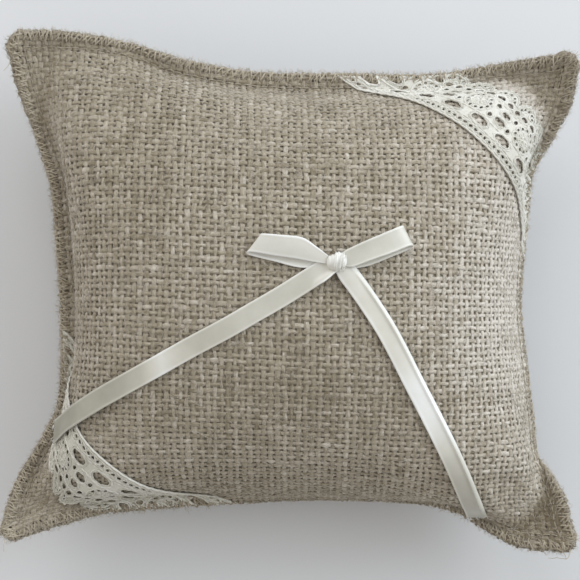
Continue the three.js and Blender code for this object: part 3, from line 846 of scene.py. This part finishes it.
def lace_ground(corner, cut, seed, tone):
    """The dense ground of the lace, a thin cloth with the eyelets left open."""
    span = cut / math.sqrt(0.5)
    s, t = np.arange(-1, span + 1, LACE_STEP), np.arange(0.1, 23.0, LACE_STEP)
    cs, ct = np.meshgrid(s[:-1] + LACE_STEP / 2, t[:-1] + LACE_STEP / 2)
    keep = ct < scallop(cs)
    for hole_s, hole_t, rs, rt in eyelets(span):
        keep &= ((cs - hole_s) / (rs + 0.1)) ** 2 + ((ct - hole_t) / (rt + 0.1)) ** 2 > 1
    a, b = lace_place(corner, cut, cs, ct, seed)
    keep &= past_seam(corner, a, b) < MARGIN - 0.8
    ms, mt = np.meshgrid(s, t)
    a, b = lace_place(corner, cut, ms, mt, seed)
    upper, lower = (front.place(a, b, lace_height(corner, a, b) + off) for off in (0.12, -0.15))
    cells = grid_quads(*ms.shape).reshape(*keep.shape, 4)
    facing = 1 if corner == "upper_right" else -1
    quads = [cells[keep][:, ::facing], cells[keep][:, ::-facing] + ms.size]
    padded = np.pad(keep, 1)
    beside = (padded[:-2, 1:-1], padded[1:-1, 2:], padded[2:, 1:-1], padded[1:-1, :-2])
    for k in range(4):
        p, q = cells[keep & ~beside[k]][:, [k, (k + 1) % 4]].T[::facing]
        quads.append(np.stack([q, p, p + ms.size, q + ms.size], -1))
    threads = Threads()
    threads.add(np.concatenate([upper.reshape(-1, 3), lower.reshape(-1, 3)]), np.vstack(quads), tone)
    return threads, keep.sum() * LACE_STEP**2 * LACE_SPREAD


def make_lace(node, corner, cut, seed, tone_drop_and_painted_shade):
    """Cotton lace laid across one corner at 45 degrees, its ends caught in the seam."""
    rng = np.random.default_rng(seed)
    span = cut / math.sqrt(0.5)
    threads = Threads()
    for line, radius in lace_lines(span):
        fine = spaced(line, max(3, int(lengths(line)[-1] / 0.55) + 1))
        a, b = lace_place(corner, cut, fine[:, 0], fine[:, 1], seed)
        inside = past_seam(corner, a, b) < MARGIN - 0.6
        wave = 0.14 * np.sin(lengths(fine) * 2.1 + rng.uniform(0, 6.3))
        height = lace_height(corner, a, b) + 0.10 + wave + rng.uniform(-0.08, 0.08)
        # a tone drop for the white cotton, larger on the lower-left lace as painted shade
        tone = rng.uniform(0.35, 0.65) - tone_drop_and_painted_shade
        change = np.flatnonzero(np.diff(inside)) + 1
        for run in np.split(np.arange(len(a)), change):
            if len(run) > 2 and inside[run[0]]:
                path = front.place(a[run], b[run], height[run])
                threads.line(path, radius, tone, sides=5)
    raised = threads.piece(node + "_threads", cotton)
    ground, area = lace_ground(corner, cut, seed, 0.5 - tone_drop_and_painted_shade)
    piece = ground.piece(node + "_ground", cotton)
    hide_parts(node)


# the lower-left lace is darker than the upper-right one: painted shade
make_lace("lace_upper_right", "upper_right", 79.0, 3, 0.17)
make_lace("lace_lower_left", "lower_left", 78.0, 4, 0.24)


# ---------------- ribbon
COLUMNS = 17
ACROSS = np.linspace(-1, 1, COLUMNS)
SELVEDGE = np.abs(ACROSS) > 0.85
TAIL_ROWS = 150
FREE_FROM = 0.88  # of a tail's length, from where it carries on straight to its cut end


def strip(left, right, rows_up, profile, sheen, thick=0.15):
    """A ribbon between two edge lines: a thin closed sheet with firmer selvedges, lifted by profile."""
    n = len(left)
    mid = (left + right) / 2
    half = (right - left) / 2
    surface = mid[:, None] + half[:, None] * ACROSS[None, :, None]
    surface = surface + rows_up[:, None] * profile[..., None]
    body = thick + 0.08 * SELVEDGE - thick * 0.6 * (np.abs(ACROSS) > 0.99)
    up = surface + rows_up[:, None] * body[None, :, None]
    down = surface - rows_up[:, None] * body[None, :, None]
    points = np.concatenate([up, down[:, ::-1]], 1)
    # sheen is painted highlight and painted shade; the selvedges are paler
    tones = 0.22 * np.tile(SELVEDGE, 2) + np.broadcast_to(sheen, (n, 1))
    return points.reshape(-1, 3), tube_quads(1, n, 2 * COLUMNS, True), tones


def drape(route, half, lift, rows, steepest):
    """The edges and the middle of a ribbon lying on the front, springing a little over hollows."""
    line = spaced(rounded(route, 20), 3 * rows)
    middle = np.array([on_front(*p) for p in line])
    for _ in range(900):
        middle[1:-1, 2] = np.maximum(middle[1:-1, 2], (middle[:-2, 2] + middle[2:, 2]) / 2)
    free = int(FREE_FROM * len(middle))
    fall = max(middle[free, 2] - middle[free - 1, 2], -steepest * lengths(middle)[-1] / len(middle))
    for k in range(free, len(middle)):
        middle[k, 2] = max(middle[k, 2], middle[k - 1, 2] + fall)
    middle = spaced(middle, rows)
    ahead = np.gradient(middle, axis=0)
    sideways = unit(np.stack([-ahead[:, 1], ahead[:, 0], np.zeros(rows)], 1))
    up = unit(np.cross(ahead, sideways))
    rails = []
    for q in (-1, 0, 1):
        rail = middle + sideways * half[:, None] * q
        for k in range(rows):
            hit, normal = tree.find_nearest(Vector(rail[k]))[:2]
            normal = np.array(normal)
            short = lift[k] - np.dot(rail[k] - np.array(hit), normal)
            rail[k] += up[k] * max(short, 0) / max(np.dot(normal, up[k]), 0.7)
        rails.append(rail)
    for _ in range(8):
        for rail in rails:
            rail[1:-1] = 0.25 * rail[:-2] + 0.5 * rail[1:-1] + 0.25 * rail[2:]
    middle = rails[1]
    middle[:, 2] = np.maximum(middle[:, 2], (rails[0][:, 2] + rails[2][:, 2]) / 2)
    across = unit(rails[2] - rails[0]) * half[:, None]
    return [middle - across, middle, middle + across]


def make_tail(name, nodes, route, hinge, length, shape):
    """One free tail from the knot to its slanting, slightly frayed cut end."""
    s = np.linspace(0, 1, TAIL_ROWS)
    half = RIBBON_HALF * (shape["neck"] + (1 - shape["neck"]) * smooth(s, 0, 0.05))
    lift = CLOTH_TOP + 0.6 + shape["rise"](s)
    left, mid, right = drape(route, half, lift, TAIL_ROWS, shape["steepest"])
    up = unit(np.cross(np.gradient(mid, axis=0), right - left))
    short = s * (1 - shape["slant"] / lengths(mid)[-1])
    left = read_off(left, s, short)
    # painted highlights and painted shade along the tail
    sheen = np.interp(s, *zip(*shape["sheen"]))[:, None]
    threads = Threads()
    threads.add(*strip(left, right, up, shape["profile"](s[:, None], ACROSS[None]), sheen))
    rng = np.random.default_rng(int(length * 1000))
    ahead = unit(mid[-1] - mid[-4])
    grow = np.linspace(-0.4, 1, 6)[:, None]
    cut = right[-1] - left[-1]
    for q in rng.uniform(0.02, 0.98, 14):
        reach, lean, dip = rng.uniform(0.7, 2.3), rng.normal() * 0.35, rng.uniform(-0.3, 0.1)
        bent = (cut / (2 * RIBBON_HALF) * lean * reach + up[-1] * dip) * grow**2
        threads.line(left[-1] + cut * q + ahead * reach * grow + bent, 0.085, 0.75, sides=4)
    piece = threads.piece(name, satin_white, body=None)
    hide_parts(*nodes)
    hinge = np.array(hinge)
    away = unit(mid[12] - mid[0]) * MM
    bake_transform(piece)
    path = [tuple(p * MM) for p in mid[::3]]
    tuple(path[0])


def left_rise(s):
    """How much higher than the hessian the left tail lies: over the lace, and from under the knot."""
    return 1.1 * smooth(s, 0.68, 0.74) + 1.2 * (1 - smooth(s, 0.01, 0.09))


def right_rise(s):
    return 0.25 * np.sin(s * 19) ** 2 + 0.9 * (1 - smooth(s, 0.01, 0.08)) + 0.6 * smooth(s, 0.86, 0.95)


def left_profile(s, q):
    """Slow waves, and one edge turned up beside the knot."""
    hollow = 0.5 * np.exp(-(((s - 0.05) / 0.03) ** 2))
    turned = 1.5 * np.exp(-(((s - 0.05) / 0.035) ** 2)) * smooth(q, 0.1, 1.0) * q
    return (1 - q**2) * (0.12 * np.sin(s * 25) - hollow) + turned


def right_profile(s, q):
    """Slow waves, and a crease along one side."""
    crease = 0.55 * (1 - smooth(np.abs(q - 0.62), 0, 0.16)) * smooth(s, 0.03, 0.12)
    return crease - 0.5 * smooth(q, 0.66, 1.0) + (1 - q**2) * (0.15 + 0.2 * np.sin(s * 17 + 1))


# painted sheen along each tail, by share of its length: painted highlights and painted shade
PAINTED_SHEEN_LEFT = [(0, 0.50), (0.05, 0.54), (0.09, 0.31), (0.3, 0.36), (0.43, 0.26), (0.51, 0.46)]
PAINTED_SHEEN_LEFT += [(0.56, 0.68), (0.63, 0.30), (0.72, 0.08), (1, -0.08)]
PAINTED_SHEEN_RIGHT = [(0, 0.54), (0.25, 0.50), (0.36, 0.57), (0.44, 0.86), (0.54, 0.86), (0.62, 0.7)]
PAINTED_SHEEN_RIGHT += [(0.7, 0.38), (0.8, 0.24), (1, 0.14)]
# s runs from the knot to the cut end as a share of the length, q across from -1 to 1
shape_left = dict(
    steepest=0.45, slant=5.5, neck=0.80, sheen=PAINTED_SHEEN_LEFT, rise=left_rise, profile=left_profile
)
shape_right = dict(
    steepest=0.95, slant=3.5, neck=0.84, sheen=PAINTED_SHEEN_RIGHT, rise=right_rise, profile=right_profile
)
make_tail(
    "ribbon_left", ("tail_root_left", "ribbon_tail_left"), TAIL_LEFT,
    (0.00535, 0.00305, 0.06744), 0.123, shape_left,
)
make_tail(
    "ribbon_right", ("tail_root_right", "ribbon_tail_right"), TAIL_RIGHT,
    (0.02267, 0.00092, 0.06675), 0.113, shape_right,
)


def make_loop(name, node, upper, lower, sheen):
    """One loop of the bow from its two edges, each point in plan with its height over the hessian."""
    left, right = (spaced(rounded(edge, 16), 90) for edge in (upper, lower))
    for line in (left, right):
        line[:, 2] += [on_front(x, y)[2] + CLOTH_TOP for x, y, _ in line]
    mid = (left + right) / 2
    up = unit(np.cross(np.gradient(mid, axis=0), right - left))
    s = np.linspace(0, 1, len(mid))
    bulge = 0.35 * np.sin(np.pi * np.clip(s * 2.2, 0, 1))
    threads = Threads()
    threads.add(*strip(left, right, up, bulge[:, None] * (1 - ACROSS**2)[None], sheen))
    piece = threads.piece(name, satin_white)
    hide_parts(node)


LEFT_UPPER = [(12.6, 11.3, 2.8), (8.7, 14.3, 3.6), (4, 17.3, 4.4), (-2.7, 18.1, 4.6), (-8.3, 18.6, 3.9)]
LEFT_UPPER += [(-9.6, 18.4, 2.4), (-8.3, 17.8, 0.9), (-1.7, 16, 0.6), (5, 13.3, 0.8), (12.6, 10.6, 1.2)]
LEFT_LOWER = [(12.0, 8.7, 2.2), (7.7, 9.3, 2.1), (2, 10.3, 2.1), (-5, 11.3, 2.1), (-12.9, 12.6, 2.0)]
LEFT_LOWER += [(-14.3, 12.2, 1.2), (-13, 11.4, 0.6), (-5, 9.4, 0.5), (3.3, 7.4, 0.5), (12.0, 7.6, 0.9)]
RIGHT_UPPER = [(17, 12.3, 2.8), (20, 14, 3.6), (25, 16.3, 4.4), (31.6, 19.1, 4.5), (36.2, 21.1, 3.9)]
RIGHT_UPPER += [(37.5, 21.4, 2.4), (36.3, 20.4, 0.9), (30.9, 17.6, 0.6), (24, 14.3, 0.7), (17, 11, 1.2)]
RIGHT_LOWER = [(18.4, 7.7, 2.4), (21.0, 7.7, 3.0), (26.6, 9.8, 3.6), (33.3, 12.1, 3.6), (39.7, 14.6, 3.0)]
RIGHT_LOWER += [(40.9, 14.5, 1.9), (39.5, 13.4, 0.7), (33.3, 10.8, 0.5), (26, 8, 0.5), (18.6, 6.7, 0.9)]
# the loops' sheen values are painted light: painted light on the left loop, painted shade on the right
make_loop("loop_left", "bow_loop_left", LEFT_UPPER, LEFT_LOWER, 0.60)
make_loop("loop_right", "bow_loop_right", RIGHT_UPPER, RIGHT_LOWER, 0.37)


def make_knot():
    """The puckered knot: a short gathered wrap over the loops."""
    centre = np.array([*KNOT, on_front(*KNOT)[2] + CLOTH_TOP + 2.1])
    sides, rows = 48, 26
    uu, vv = np.meshgrid(np.arange(sides) * 2 * np.pi / sides, np.linspace(-1, 1, rows))
    shoulder = (1 - np.abs(vv) ** 3.2) ** 0.5
    pleat = 0.07 * np.sin(vv * 7 + uu) + 0.05 * np.sin(vv * 19 + 2 * uu + 1.2 * np.cos(uu * 2))
    radius = shoulder * (1 + pleat) + 0.02
    x = vv * 3.5 + 0.35 * np.sin(uu * 2 + 0.6) * (1 - np.abs(vv))
    y = 2.65 * radius * np.cos(uu) * (1 + 0.10 * np.sin(3 * uu + vv * 2))
    z = 2.3 * radius * np.sin(uu)
    cos, sin = math.cos(0.2), math.sin(0.2)
    points = np.stack([x * cos - y * sin, x * sin + y * cos, z], -1) + centre
    threads = Threads()
    # the knot's own tone, apart from the loops' and tails', is painted light
    threads.add(points, tube_quads(1, rows, sides), 0.70)
    piece = threads.piece("knot", satin_white)
    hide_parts("bow_knot")
    return centre


knot_centre = make_knot()


def make_tacks():
    """Sewing thread over the knot, down into the hessian at either side."""
    threads = Threads()
    for dx, dy, reach in ((1.3, -0.4, 3.4), (2.1, 0.2, 3.0), (2.7, -0.6, 2.9), (-0.6, 0.1, 3.3)):
        t = np.linspace(-1, 1, 24)
        rise = 2.75 * np.sqrt(np.maximum(1 - np.abs(t) ** 2.6, 0)) - 2.6 * np.abs(t) ** 6
        path = knot_centre + np.stack([dx + 0.4 * t, dy + t * reach, rise], 1)
        threads.line(path, 0.13, 0.8, sides=5, up=(1.0, 0.1, 0.1))
    piece = threads.piece("tack_stitches", cotton)
    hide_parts("tack_thread")


make_tacks()

# ---------------- floor, light
scene.view_settings.view_transform = "Standard"
floor_mesh = bpy.data.meshes.new("floor")
floor_mesh.from_pydata([(-6, -6, 0), (6, -6, 0), (6, 6, 0), (-6, 6, 0)], [], [(0, 1, 2, 3)])
floor = bpy.data.objects.new("floor", floor_mesh)
scene.collection.objects.link(floor)
floor_mesh.materials.append(nodes_of("floor", Base_Color=(0.685, 0.70, 0.735, 1), Roughness=0.6)[0])

world = bpy.data.worlds.new("studio")
scene.world = world
world.use_nodes = True
background = world.node_tree.nodes["Background"].inputs
background["Color"].default_value = (1.0, 0.965, 0.90, 1)
background["Strength"].default_value = 0.54


def area_light(name, place, aim, size, power, colour):
    data = bpy.data.lights.new(name, "AREA")
    data.size = size
    data.energy = power
    data.color = colour
    light = bpy.data.objects.new(name, data)
    light.location = place
    light.rotation_euler = (Vector(aim) - Vector(place)).to_track_quat("-Z", "Y").to_euler()
    scene.collection.objects.link(light)


area_light("window", (1.15, 0.55, 0.70), (0, 0, 0), 1.2, 17.3, (0.875, 0.95, 1.0))
area_light("fill", (-1.3, -0.1, 0.55), (0, 0, 0), 0.9, 2.6, (1.0, 0.97, 0.90))
area_light("sky", (-0.45, 1.2, 0.80), (0, 0.1, 0), 1.1, 8.2, (0.98, 0.99, 1.0))
